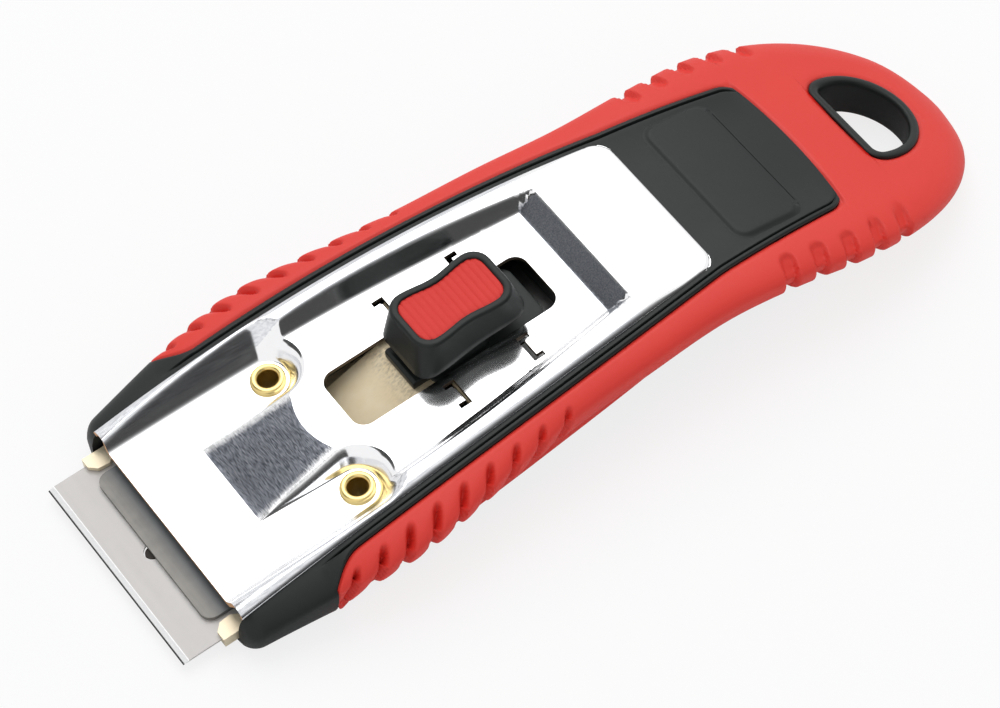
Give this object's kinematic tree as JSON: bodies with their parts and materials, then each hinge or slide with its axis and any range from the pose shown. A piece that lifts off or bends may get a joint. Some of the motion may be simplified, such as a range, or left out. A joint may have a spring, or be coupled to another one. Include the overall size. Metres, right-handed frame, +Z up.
{
  "type": "razor blade scraper",
  "caption": "Hand scraper with an arched soft-gripped handle, a sunk steel cover, a straight blade on a sliding carriage and a sprung thumb knob.",
  "frame": {"origin": "middle of the bounding box's bottom face, with the tool lying on its underside and the blade in its working position", "axes": "+X along the tool from the blade to the tail, +Y across it, +Z up out of the steel cover"},
  "size_m": [0.1612, 0.0574, 0.0257],
  "materials": {
    "handle_core": "satin black moulded plastic",
    "soft_grip": "matt coral-red soft moulding",
    "hang_ring": "satin black moulded plastic",
    "cover_plate": "polished stainless sheet",
    "base_plate": "plain sheet steel",
    "guide_strip_left": "dark plastic",
    "guide_strip_right": "dark plastic",
    "cover_eyelets": "bright rolled brass",
    "clinch_washers": "zinc-plated",
    "floor_screws": "zinc-plated",
    "carrier_plate": "cream coated steel",
    "blade_backstop": "plain sheet steel",
    "clamp_leaf": "dull grey spring steel",
    "leaf_rivets": "cream coated steel",
    "razor_blade": "ground blade steel",
    "spring_arm": "cream coated spring steel",
    "arm_rivets": "cream coated steel",
    "knob_shoe": "black plastic",
    "thumb_knob": "satin black moulded plastic",
    "knob_pad": "matt coral-red ribbed soft pad",
    "knob_screws": "zinc-plated"
  },
  "bodies": {
    "handle": {"handle_core": "handle_core", "soft_grip": "soft_grip", "hang_ring": "hang_ring", "cover_plate": "cover_plate", "base_plate": "base_plate", "guide_strip_left": "guide_strip_left", "guide_strip_right": "guide_strip_right", "cover_eyelets": "cover_eyelets", "clinch_washers": "clinch_washers", "floor_screws": "floor_screws"},
    "carriage": {"carrier_plate": "carrier_plate", "blade_backstop": "blade_backstop", "clamp_leaf": "clamp_leaf", "leaf_rivets": "leaf_rivets", "razor_blade": "razor_blade"},
    "knob": {"spring_arm": "spring_arm", "arm_rivets": "arm_rivets", "knob_shoe": "knob_shoe", "thumb_knob": "thumb_knob", "knob_pad": "knob_pad", "knob_screws": "knob_screws"}
  },
  "joints": [
    {"name": "blade_slide", "type": "slide", "parent": "handle", "child": "carriage", "axis": [0.9945, 0, 0.1045], "range_m": [-0.011, 0.011]},
    {"name": "knob_press", "type": "hinge", "parent": "carriage", "child": "knob", "pos_m": [-0.0433, 0, 0.00569], "axis": [0, 1, 0], "range_deg": [0, 3], "stiffness_Nm_per_rad": 4, "springref_deg": -0.57}
  ]
}
